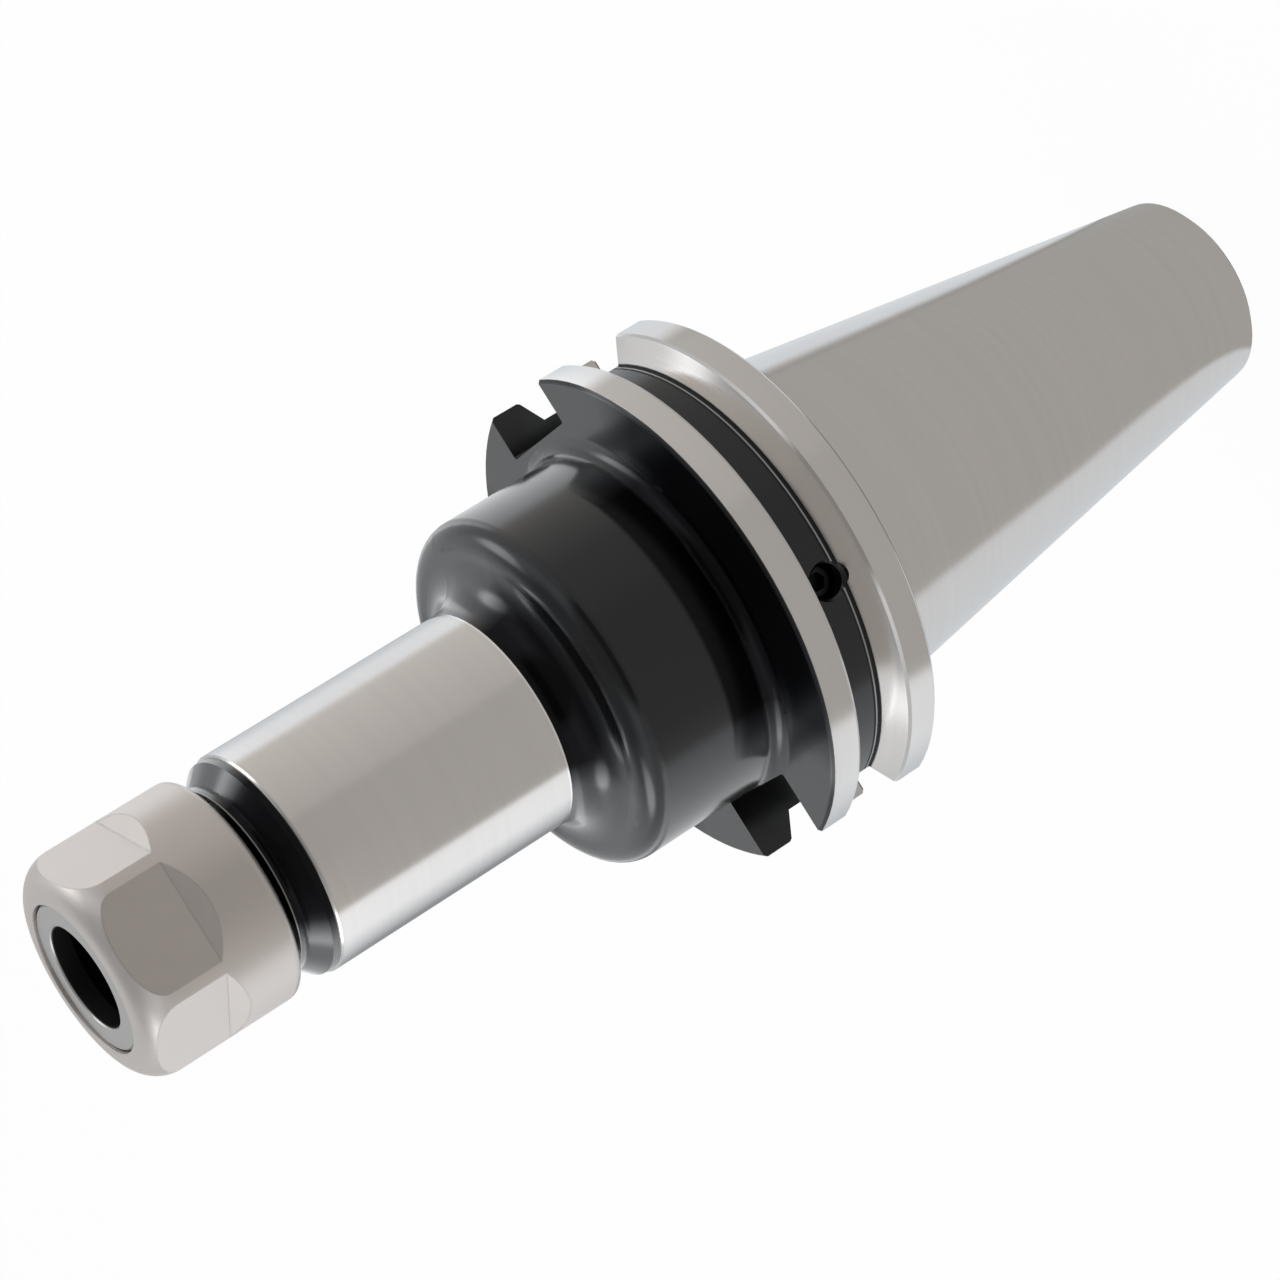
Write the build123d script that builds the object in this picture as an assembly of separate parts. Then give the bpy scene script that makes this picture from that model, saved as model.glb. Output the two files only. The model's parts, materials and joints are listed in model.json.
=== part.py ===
from build123d import *
import os
from math import cos, radians, sin, tan

# Collet chuck holder: a 7 in 24 steep taper shank with a V-grooved flange, a slim
# nose with a 16 degree collet seat, and a hex clamping nut around a loose thrust ring.
# Millimetres. Origin on the axis at the gauge line of the taper, +Z toward the nose.
# +X points to the shallow drive slot, -X to the deep one.

# Spindle taper
GAUGE_DIA = 44.45
TAPER_PER_LENGTH = 7 / 24
TAPER_LENGTH = 68.25
TAPER_END_CHAMFER = 1.0
UNDERCUT_DIA = 43.3
UNDERCUT_WIDTH = 2.6

# Flange
FLANGE_SETBACK = 3.18
FLANGE_DIA = 63.5
FLANGE_WIDTH = 15.87
FLANGE_EDGE_CHAMFER = 0.4
GROOVE_SETBACK = 7.89
GROOVE_DEPTH = 3.15
GROOVE_BOTTOM_WIDTH = 3.95
GROOVE_FLANK_ANGLE = 30.0
GROOVE_EDGE_CHAMFER = 0.25

# Drive slots
SLOT_WIDTH = 16.3
SLOT_CORNER_RADIUS = 0.4
SHALLOW_SLOT_FLOOR = 25.0
DEEP_SLOT_FLOOR = 22.6

# Collar and nose
COLLAR_DIA = 45.0
COLLAR_FILLET = 2.0
COLLAR_LENGTH = 18.95
SHOULDER_ROUND_SHARE = 0.33
NOSE_FILLET_SHARE = 0.54
NOSE_DIA = 28.0
NOSE_LENGTH = 37.15
NOSE_EDGE_CHAMFER = 0.2
BAND_DIA = 27.3
BAND_LENGTH = 0.95
NECK_DIA = 23.2
NECK_LENGTH = 0.85
NECK_FILLET = 0.8
NECK_CONE_ANGLE = 45.0

# Nose thread, modelled as its core
THREAD_DIA = 22.0
THREAD_PITCH = 1.5
THREAD_LENGTH = 12.5
THREAD_RELIEF_WIDTH = 0.8
THREAD_RELIEF_DIA = 19.8
THREAD_END_CHAMFER = 0.5
THREAD_CLEARANCE = 0.05

# Collet seat and the bores behind it
SEAT_MOUTH_DIA = 17.0
SEAT_HALF_ANGLE = 8.0
SEAT_DEPTH = 24.0
SEAT_MOUTH_CHAMFER = 0.3
STOP_BORE_DIA = 10.0
STOP_BORE_DEPTH = 72.0
COOLANT_DIA = 7.0
DRILL_POINT_ANGLE = 118.0

# Pull stud hole in the small end
STUD_THREAD_DIA = 15.875
STUD_THREAD_DEPTH = 28.6
STUD_PILOT_DIA = 16.26
STUD_PILOT_DEPTH = 4.8
STUD_MOUTH_CHAMFER = 0.6

# Set screws in the bottom of the V-groove
GROOVE_SCREW_DIA = 4.0
GROOVE_SCREW_LENGTH = 4.0
GROOVE_SCREW_SUNK = 2.5
GROOVE_SCREW_SOCKET = 2.0
GROOVE_SCREW_SOCKET_DEPTH = 1.5
GROOVE_HOLE_DEPTH = 7.0
GROOVE_HOLE_CHAMFER = 0.4
GROOVE_HOLE_ANGLE = 257.0
SCREW_CLEARANCE = 0.05
SCREW_END_CHAMFER = 0.35

# Stop screw
STOP_LENGTH = 14.0
STOP_SOCKET = 5.0
STOP_SOCKET_DEPTH = 5.5
STOP_HOLE_DIA = 3.2
STOP_END_GAP = 0.3

# Clamping nut
NUT_DIA = 28.0
NUT_LENGTH = 19.7
NUT_REAR_RADIUS = 1.1
NUT_FRONT_RADIUS = 4.0
NUT_ACROSS_FLATS = 25.0
NUT_FLAT_LENGTH = 10.5
NUT_RUNOUT_ANGLE = 38.0
NUT_ENTRY_CHAMFER = 0.6
NUT_RELIEF_DIA = 22.5
NUT_RELIEF_WIDTH = 1.6
FLAT_COUNT = 6
FLAT_ANGLE = 270.0

# Thrust ring in the nut
RING_LENGTH = 7.3
RING_RECESS = 0.3
RING_FACE_DIA = 18.6
RING_BORE_DIA = 12.8
RING_BORE_LENGTH = 2.4
RING_EDGE_CHAMFER = 0.25
RING_CONE_ANGLE = 30.0
RING_REAR_DIA = 19.2
RING_REAR_LENGTH = 1.2
RING_FLANGE_DIA = 20.2
RING_FLANGE_LENGTH = 1.8
LIP_THICKNESS = 0.6
LIP_BORE_DIA = 16.0
LIP_OFFSET = 0.35
LIP_GROOVE_WIDTH = 0.8
LIP_GROOVE_DIA = 17.5
NOSE_GAP = 0.1
RING_CLEARANCE = 0.15
RING_END_PLAY = 0.05

# Snap ring that keeps the thrust ring in the nut
SNAP_HOLD = 0.2
SNAP_WIDTH = 0.8
SNAP_THICKNESS = 0.6
SNAP_GAP_ANGLE = 30.0
SNAP_LAND = 0.3
SNAP_CLEARANCE = 0.05

# Stations along the axis
FLANGE_REAR = FLANGE_SETBACK
FLANGE_FRONT = FLANGE_REAR + FLANGE_WIDTH
GROOVE_MIDDLE = FLANGE_REAR + GROOVE_SETBACK
SHOULDER_FACE = FLANGE_FRONT + COLLAR_LENGTH
BAND_REAR = SHOULDER_FACE + NOSE_LENGTH
CONE_REAR = BAND_REAR + BAND_LENGTH
CONE_FRONT = CONE_REAR + (BAND_DIA - NECK_DIA) / 2 / tan(radians(NECK_CONE_ANGLE))
NECK_FRONT = CONE_FRONT + NECK_LENGTH
THREAD_REAR = NECK_FRONT + THREAD_RELIEF_WIDTH
NOSE_END = THREAD_REAR + THREAD_LENGTH
RING_REAR = NOSE_END + NOSE_GAP
RING_FRONT = RING_REAR + RING_LENGTH
NUT_FRONT = RING_FRONT + RING_RECESS
NUT_REAR = NUT_FRONT - NUT_LENGTH
FLANGE_OF_RING_REAR = RING_REAR + RING_REAR_LENGTH
FLANGE_OF_RING_FRONT = FLANGE_OF_RING_REAR + RING_FLANGE_LENGTH
LIP_REAR_OF_NUT = FLANGE_OF_RING_FRONT + RING_END_PLAY
SNAP_FRONT = FLANGE_OF_RING_REAR - SNAP_CLEARANCE
SNAP_REAR = SNAP_FRONT - SNAP_THICKNESS
STOP_BORE_END = NOSE_END - STOP_BORE_DEPTH

CORE_DIA = THREAD_DIA - 1.2269 * THREAD_PITCH
CHAMBER_DIA = RING_FLANGE_DIA + 2 * RING_CLEARANCE
SNAP_BORE_DIA = RING_FLANGE_DIA - 2 * SNAP_HOLD
SNAP_OUTER_DIA = SNAP_BORE_DIA + 2 * SNAP_WIDTH
GROOVE_BOTTOM_DIA = FLANGE_DIA - 2 * GROOVE_DEPTH
SHOULDER_STEP = (COLLAR_DIA - NOSE_DIA) / 2
SHOULDER_RADIUS = SHOULDER_ROUND_SHARE * SHOULDER_STEP
NOSE_FILLET = NOSE_FILLET_SHARE * SHOULDER_STEP


def corners_at(sketch, *points):
    """The corners of a profile that lie nearest to the given (radius, station) points."""
    found = []
    for radius, station in points:
        found.append(min(sketch.vertices(), key=lambda v: abs(v.X - radius) + abs(v.Z - station)))
    return found


def turned(points, fillets=(), chamfers=()):
    """A solid turned about Z from a closed (radius, station) outline with broken corners."""
    outline = Plane.XZ * make_face(Polyline(*points, close=True))
    for corner, radius in fillets:
        outline = fillet(corners_at(outline, corner), radius)
    for corner, length in chamfers:
        outline = chamfer(corners_at(outline, corner), length)
    return revolve(outline, Axis.Z)


def taper_radius(station):
    """Radius of the spindle taper at a station along the axis."""
    return (GAUGE_DIA + station * TAPER_PER_LENGTH) / 2


def shank_and_flange():
    """The taper, its undercut and the V-grooved flange, turned in one piece."""
    end = taper_radius(-TAPER_LENGTH)
    undercut_rear = FLANGE_REAR - UNDERCUT_WIDTH
    rim = FLANGE_DIA / 2
    root = rim - GROOVE_DEPTH
    half_bottom = GROOVE_BOTTOM_WIDTH / 2
    half_mouth = half_bottom + GROOVE_DEPTH * tan(radians(GROOVE_FLANK_ANGLE))
    collar = COLLAR_DIA / 2
    points = [
        (0, -TAPER_LENGTH),
        (end, -TAPER_LENGTH),
        (taper_radius(undercut_rear), undercut_rear),
        (UNDERCUT_DIA / 2, undercut_rear),
        (UNDERCUT_DIA / 2, FLANGE_REAR),
        (rim, FLANGE_REAR),
        (rim, GROOVE_MIDDLE - half_mouth),
        (root, GROOVE_MIDDLE - half_bottom),
        (root, GROOVE_MIDDLE + half_bottom),
        (rim, GROOVE_MIDDLE + half_mouth),
        (rim, FLANGE_FRONT),
        (collar, FLANGE_FRONT),
        (collar, FLANGE_FRONT + 2 * COLLAR_FILLET),
        (0, FLANGE_FRONT + 2 * COLLAR_FILLET),
    ]
    fillets = [(points[11], COLLAR_FILLET)]
    chamfers = [
        (points[1], TAPER_END_CHAMFER),
        (points[5], FLANGE_EDGE_CHAMFER),
        (points[6], GROOVE_EDGE_CHAMFER),
        (points[9], GROOVE_EDGE_CHAMFER),
        (points[10], FLANGE_EDGE_CHAMFER),
    ]
    return turned(points, fillets, chamfers)


def collar_and_nose():
    """The collar with its rounded shoulder, the ground nose, the neck and the thread core."""
    collar = COLLAR_DIA / 2
    nose = NOSE_DIA / 2
    points = [
        (0, FLANGE_FRONT + COLLAR_FILLET),
        (collar, FLANGE_FRONT + COLLAR_FILLET),
        (collar, SHOULDER_FACE),
        (nose, SHOULDER_FACE),
        (nose, BAND_REAR),
        (BAND_DIA / 2, BAND_REAR),
        (BAND_DIA / 2, CONE_REAR),
        (NECK_DIA / 2, CONE_FRONT),
        (NECK_DIA / 2, NECK_FRONT),
        (THREAD_RELIEF_DIA / 2, NECK_FRONT),
        (THREAD_RELIEF_DIA / 2, THREAD_REAR),
        (CORE_DIA / 2, THREAD_REAR),
        (CORE_DIA / 2, NOSE_END),
        (0, NOSE_END),
    ]
    fillets = [
        (points[2], SHOULDER_RADIUS),
        (points[3], NOSE_FILLET),
        (points[7], NECK_FILLET),
    ]
    chamfers = [(points[4], NOSE_EDGE_CHAMFER), (points[12], THREAD_END_CHAMFER)]
    return turned(points, fillets, chamfers)


def through_bore():
    """The stepped hole from the collet seat to the pull stud thread."""
    mouth = SEAT_MOUTH_DIA / 2
    seat_end = NOSE_END - SEAT_DEPTH
    seat_small = mouth - SEAT_DEPTH * tan(radians(SEAT_HALF_ANGLE))
    stop = STOP_BORE_DIA / 2
    coolant = COOLANT_DIA / 2
    thread = STUD_THREAD_DIA / 2
    pilot = STUD_PILOT_DIA / 2
    point_slope = tan(radians(DRILL_POINT_ANGLE / 2))
    small_end = -TAPER_LENGTH
    pilot_end = small_end + STUD_PILOT_DEPTH
    thread_end = small_end + STUD_THREAD_DEPTH
    points = [
        (0, small_end),
        (pilot + STUD_MOUTH_CHAMFER, small_end),
        (pilot, small_end + STUD_MOUTH_CHAMFER),
        (pilot, pilot_end),
        (thread, pilot_end),
        (thread, thread_end),
        (coolant, thread_end + (thread - coolant) / point_slope),
        (coolant, STOP_BORE_END - (stop - coolant) / point_slope),
        (stop, STOP_BORE_END),
        (stop, seat_end),
        (seat_small, seat_end),
        (mouth, NOSE_END),
        (mouth + SEAT_MOUTH_CHAMFER, NOSE_END + SEAT_MOUTH_CHAMFER),
        (0, NOSE_END + SEAT_MOUTH_CHAMFER),
    ]
    return turned(points)


def drive_slot(floor, direction):
    """One drive slot cut across the whole flange, flat floored, at a distance from the axis."""
    depth = FLANGE_DIA / 2 - floor + 2
    length = FLANGE_WIDTH + COLLAR_FILLET + 1
    middle = FLANGE_REAR - 1 + length / 2
    cutter = Pos(floor + depth / 2, 0, middle) * Box(depth, SLOT_WIDTH, length)
    inner = cutter.edges().filter_by(Axis.Z).group_by(Axis.X)[0]
    return Rot(0, 0, direction) * fillet(inner, SLOT_CORNER_RADIUS)


def on_groove(angle):
    """A plane on the bottom of the V-groove at an angle about the axis, facing outward."""
    direction = (cos(radians(angle)), sin(radians(angle)), 0)
    origin = Vector(*direction) * (GROOVE_BOTTOM_DIA / 2) + Vector(0, 0, GROOVE_MIDDLE)
    return Plane(origin=origin, x_dir=(0, 0, 1), z_dir=direction)


def groove_hole(angle):
    """The tapped hole for a set screw, with a broken mouth and room for the curved groove."""
    radius = GROOVE_SCREW_DIA / 2 + SCREW_CLEARANCE
    hole = Pos(0, 0, -GROOVE_HOLE_DEPTH / 2) * Cylinder(radius, GROOVE_HOLE_DEPTH)
    mouth = Pos(0, 0, -GROOVE_HOLE_CHAMFER / 2) * Cone(radius, radius + GROOVE_HOLE_CHAMFER, GROOVE_HOLE_CHAMFER)
    above = Pos(0, 0, 0.5) * Cylinder(radius + GROOVE_HOLE_CHAMFER, 1)
    return on_groove(angle) * (hole + mouth + above)


def make_chuck_body():
    """The one piece body from the pull stud end to the threaded nose."""
    body = shank_and_flange() + collar_and_nose()
    body -= through_bore()
    body -= drive_slot(SHALLOW_SLOT_FLOOR, 0)
    body -= drive_slot(DEEP_SLOT_FLOOR, 180)
    for angle in (GROOVE_HOLE_ANGLE, GROOVE_HOLE_ANGLE + 180):
        body -= groove_hole(angle)
    return body


def set_screw(diameter, length, socket, socket_depth):
    """A headless screw along Z with its socket end at the origin."""
    screw = Pos(0, 0, -length / 2) * Cylinder(diameter / 2, length)
    screw = chamfer(screw.edges().filter_by(GeomType.CIRCLE), SCREW_END_CHAMFER)
    hexagon = RegularPolygon(socket / 2, 6, major_radius=False)
    return screw - extrude(hexagon, -socket_depth)


def make_groove_screw(angle):
    """One set screw, sunk a little below the bottom of the V-groove."""
    screw = set_screw(GROOVE_SCREW_DIA, GROOVE_SCREW_LENGTH, GROOVE_SCREW_SOCKET, GROOVE_SCREW_SOCKET_DEPTH)
    return on_groove(angle) * Pos(0, 0, -GROOVE_SCREW_SUNK) * screw


def make_stop_screw():
    """The hollow adjusting screw, wound back to the bottom of its bore."""
    diameter = STOP_BORE_DIA - 2 * SCREW_CLEARANCE
    screw = set_screw(diameter, STOP_LENGTH, STOP_SOCKET, STOP_SOCKET_DEPTH)
    screw -= Pos(0, 0, -STOP_LENGTH / 2) * Cylinder(STOP_HOLE_DIA / 2, STOP_LENGTH + 1)
    return Pos(0, 0, STOP_BORE_END + STOP_END_GAP + STOP_LENGTH) * screw


def nut_blank():
    """The turned nut: thread wall, relief, snap groove, ring chamber and front lip."""
    outer = NUT_DIA / 2
    wall = THREAD_DIA / 2 + THREAD_CLEARANCE
    relief = NUT_RELIEF_DIA / 2
    chamber = CHAMBER_DIA / 2
    snap = SNAP_OUTER_DIA / 2 + SNAP_CLEARANCE
    snap_front = SNAP_FRONT + SNAP_CLEARANCE / 2
    snap_rear = SNAP_REAR - SNAP_CLEARANCE
    mouth = RING_FACE_DIA / 2 + RING_CLEARANCE
    relief_front = snap_rear - SNAP_LAND
    relief_rear = relief_front - NUT_RELIEF_WIDTH
    points = [
        (outer, NUT_REAR),
        (outer, NUT_FRONT),
        (mouth, NUT_FRONT),
        (mouth, LIP_REAR_OF_NUT),
        (chamber, LIP_REAR_OF_NUT),
        (chamber, snap_front),
        (snap, snap_front),
        (snap, snap_rear),
        (chamber, snap_rear),
        (chamber, relief_front),
        (relief, relief_front),
        (relief, relief_rear),
        (wall, relief_rear),
        (wall, NUT_REAR),
    ]
    fillets = [(points[0], NUT_REAR_RADIUS), (points[1], NUT_FRONT_RADIUS)]
    chamfers = [(points[13], NUT_ENTRY_CHAMFER)]
    return turned(points, fillets, chamfers)


def flat_cutter():
    """What the mill takes off for one flat, with its sloping run-out at the rear."""
    flat = NUT_ACROSS_FLATS / 2
    beyond = NUT_DIA / 2 + 1
    flat_rear = NUT_FRONT - NUT_FLAT_LENGTH
    runout = (beyond - flat) / tan(radians(NUT_RUNOUT_ANGLE))
    side = [
        (flat, NUT_FRONT + 1),
        (flat, flat_rear),
        (beyond, flat_rear - runout),
        (beyond, NUT_FRONT + 1),
    ]
    return extrude(Plane.XZ * make_face(Polyline(*side, close=True)), NUT_DIA / 2, both=True)


def make_clamping_nut():
    """The clamping nut with six wrench flats."""
    nut = nut_blank()
    cutter = flat_cutter()
    for index in range(FLAT_COUNT):
        nut -= Rot(0, 0, FLAT_ANGLE + index * 360 / FLAT_COUNT) * cutter
    return nut


def make_thrust_ring():
    """The ring that bears on the collet, with its flange, 30 degree cone and offset lip."""
    face = RING_FACE_DIA / 2
    flange = RING_FLANGE_DIA / 2
    rear = RING_REAR_DIA / 2
    bore = RING_BORE_DIA / 2
    groove = LIP_GROOVE_DIA / 2
    lip_front = RING_REAR + LIP_THICKNESS
    groove_front = lip_front + LIP_GROOVE_WIDTH
    cone_front = RING_FRONT - RING_BORE_LENGTH
    cone_mouth = bore + (cone_front - groove_front) * tan(radians(RING_CONE_ANGLE))
    points = [
        (0, RING_REAR),
        (rear, RING_REAR),
        (rear, FLANGE_OF_RING_REAR),
        (flange, FLANGE_OF_RING_REAR),
        (flange, FLANGE_OF_RING_FRONT),
        (face, FLANGE_OF_RING_FRONT),
        (face, RING_FRONT),
        (bore, RING_FRONT),
        (bore, cone_front),
        (cone_mouth, groove_front),
        (groove, groove_front),
        (groove, lip_front),
        (0, lip_front),
    ]
    chamfers = [(points[6], RING_EDGE_CHAMFER), (points[7], RING_EDGE_CHAMFER)]
    ring = turned(points, (), chamfers)
    lip_hole = Pos(LIP_OFFSET, 0, RING_REAR + LIP_THICKNESS / 2)
    return ring - lip_hole * Cylinder(LIP_BORE_DIA / 2, LIP_THICKNESS + 1)


def make_snap_ring():
    """The open spring ring behind the thrust ring's flange."""
    ring = Circle(SNAP_OUTER_DIA / 2) - Circle(SNAP_BORE_DIA / 2)
    reach = SNAP_OUTER_DIA
    half_gap = reach * tan(radians(SNAP_GAP_ANGLE / 2))
    gap = make_face(Polyline((0, 0), (reach, -half_gap), (reach, half_gap), close=True))
    return Pos(0, 0, SNAP_REAR) * extrude(ring - gap, SNAP_THICKNESS)


def main():
    """Builds every piece and writes one file for each."""
    os.makedirs("parts", exist_ok=True)
    pieces = {
        "chuck_body": make_chuck_body(),
        "clamping_nut": make_clamping_nut(),
        "thrust_ring": make_thrust_ring(),
        "snap_ring": make_snap_ring(),
        "groove_screw_near": make_groove_screw(GROOVE_HOLE_ANGLE),
        "groove_screw_far": make_groove_screw(GROOVE_HOLE_ANGLE + 180),
        "stop_screw": make_stop_screw(),
    }
    for name, piece in pieces.items():
        export_step(piece, f"parts/{name}.step")
        box = piece.bounding_box()
        print(name, round(piece.volume, 1), [round(v, 2) for v in (*box.min, *box.max)])


main()
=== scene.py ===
"""The looks of a collet chuck holder: its finishes, screw threads, studio and camera.

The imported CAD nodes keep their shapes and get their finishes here. The screw threads,
which the solids carry only as plain cores and walls, are turned as pieces of their own.
Lengths are millimetres in the sizes below and metres on every mesh and in the studio.
"""

import json
import logging
from dataclasses import dataclass
from enum import Enum
from math import cos, pi, radians, sin
from typing import Any, Dict, List, Optional, Tuple, Union

import bpy
from mathutils import Matrix, Vector

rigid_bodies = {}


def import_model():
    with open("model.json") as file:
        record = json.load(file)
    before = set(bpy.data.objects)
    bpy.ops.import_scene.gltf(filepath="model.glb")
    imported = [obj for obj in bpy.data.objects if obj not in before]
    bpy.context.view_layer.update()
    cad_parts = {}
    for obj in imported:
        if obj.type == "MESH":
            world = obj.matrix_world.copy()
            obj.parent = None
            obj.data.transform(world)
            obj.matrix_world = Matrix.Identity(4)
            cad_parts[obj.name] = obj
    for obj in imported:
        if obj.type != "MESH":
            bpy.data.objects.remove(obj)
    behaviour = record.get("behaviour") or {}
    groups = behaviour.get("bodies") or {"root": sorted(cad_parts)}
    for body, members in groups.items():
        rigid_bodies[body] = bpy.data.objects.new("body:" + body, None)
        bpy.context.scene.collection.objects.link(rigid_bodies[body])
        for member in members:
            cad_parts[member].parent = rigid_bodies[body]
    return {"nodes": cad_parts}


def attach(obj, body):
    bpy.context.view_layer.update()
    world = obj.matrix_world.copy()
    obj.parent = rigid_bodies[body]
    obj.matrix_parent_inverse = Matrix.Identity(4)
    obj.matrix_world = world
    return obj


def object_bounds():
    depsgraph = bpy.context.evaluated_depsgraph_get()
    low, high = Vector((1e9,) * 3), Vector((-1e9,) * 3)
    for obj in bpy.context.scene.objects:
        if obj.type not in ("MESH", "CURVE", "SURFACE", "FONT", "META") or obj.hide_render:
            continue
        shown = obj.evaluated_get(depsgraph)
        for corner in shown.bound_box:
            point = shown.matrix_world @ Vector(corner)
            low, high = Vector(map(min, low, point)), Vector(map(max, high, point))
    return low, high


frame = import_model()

CAD_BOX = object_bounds()
MM = 0.001
WHITE = (1.0, 1.0, 1.0)

log = logging.getLogger("collet_chuck")

Number = Union[int, float]
Value = Union["Wire", int, float]
Colour = Tuple[float, float, float]
# A span is a low end and a high end. A step is the middle of a soft edge and its width.
Span = Tuple[float, float]
Step = Tuple[float, float]


class Slot(Enum):
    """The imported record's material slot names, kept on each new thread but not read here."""

    BODY = "body_steel"
    NUT = "nut_satin"


class Side(Enum):
    """Which wall a screw thread stands on."""

    SHAFT = "shaft"
    BORE = "bore"


# ------------------------------------------------------------------ shader building


class Wire:
    """A shader socket that carries one number, with Python's operators as Math nodes."""

    def __init__(self, bench: "Bench", socket: bpy.types.NodeSocket) -> None:
        """Keeps the socket and the bench whose node tree it is in.

        Args:
            bench: the material being built.
            socket: the output that carries the number.
        """
        self.bench = bench
        self.socket = socket

    def _with(self, operation: str, *others: Value, clamp: bool = False) -> "Wire":
        """Adds one Math node fed by this wire and the others.

        Args:
            operation: the Math node's operation.
            others: the values that follow this one.
            clamp: whether the result is kept from 0 to 1.

        Returns:
            The result's wire.
        """
        return self.bench.maths(operation, self, *others, clamp=clamp)

    def __add__(self, other: Value) -> "Wire":
        """This plus the other."""
        return self._with("ADD", other)

    def __sub__(self, other: Value) -> "Wire":
        """This less the other."""
        return self._with("SUBTRACT", other)

    def __rsub__(self, other: Number) -> "Wire":
        """The other less this."""
        return self.bench.maths("SUBTRACT", other, self)

    def __mul__(self, other: Value) -> "Wire":
        """This times the other."""
        return self._with("MULTIPLY", other)

    def __truediv__(self, other: Value) -> "Wire":
        """This divided by the other."""
        return self._with("DIVIDE", other)

    def __abs__(self) -> "Wire":
        """This without its sign."""
        return self._with("ABSOLUTE")

    def either(self, other: Value) -> "Wire":
        """The larger of the two, which joins two masks."""
        return self._with("MAXIMUM", other)

    def both(self, other: Value) -> "Wire":
        """The smaller of the two, which crosses two masks."""
        return self._with("MINIMUM", other)

    def above(self, edge: Value, soft: Number) -> "Wire":
        """A mask of 1 where this lies above an edge.

        Args:
            edge: the value at the middle of the step.
            soft: the width of the step.

        Returns:
            The mask's wire.
        """
        return ((self - edge) / soft)._with("ADD", 0.5, clamp=True)

    def below(self, edge: Value, soft: Number) -> "Wire":
        """A mask of 1 where this lies below an edge."""
        return 1 - self.above(edge, soft)

    def between(self, low: Value, high: Value, soft: Number) -> "Wire":
        """A mask of 1 from a low edge to a high one."""
        return self.above(low, soft).both(self.below(high, soft))

    def around(self, origin: float, span: Span, soft: Number) -> "Wire":
        """A mask of 1 over a span that is counted from an origin."""
        return self.between(origin + span[0], origin + span[1], soft)

    def swing(self, amount: float) -> "Wire":
        """This, which runs from 0 to 1, as a swing of an amount about zero."""
        return (self - 0.5) * amount


@dataclass(frozen=True)
class Grain:
    """How fine a noise is: its features to a millimetre along each axis, and its finer layers."""

    stretch: Tuple[float, float, float]
    detail: float = 2.0
    rough: float = 0.5


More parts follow.
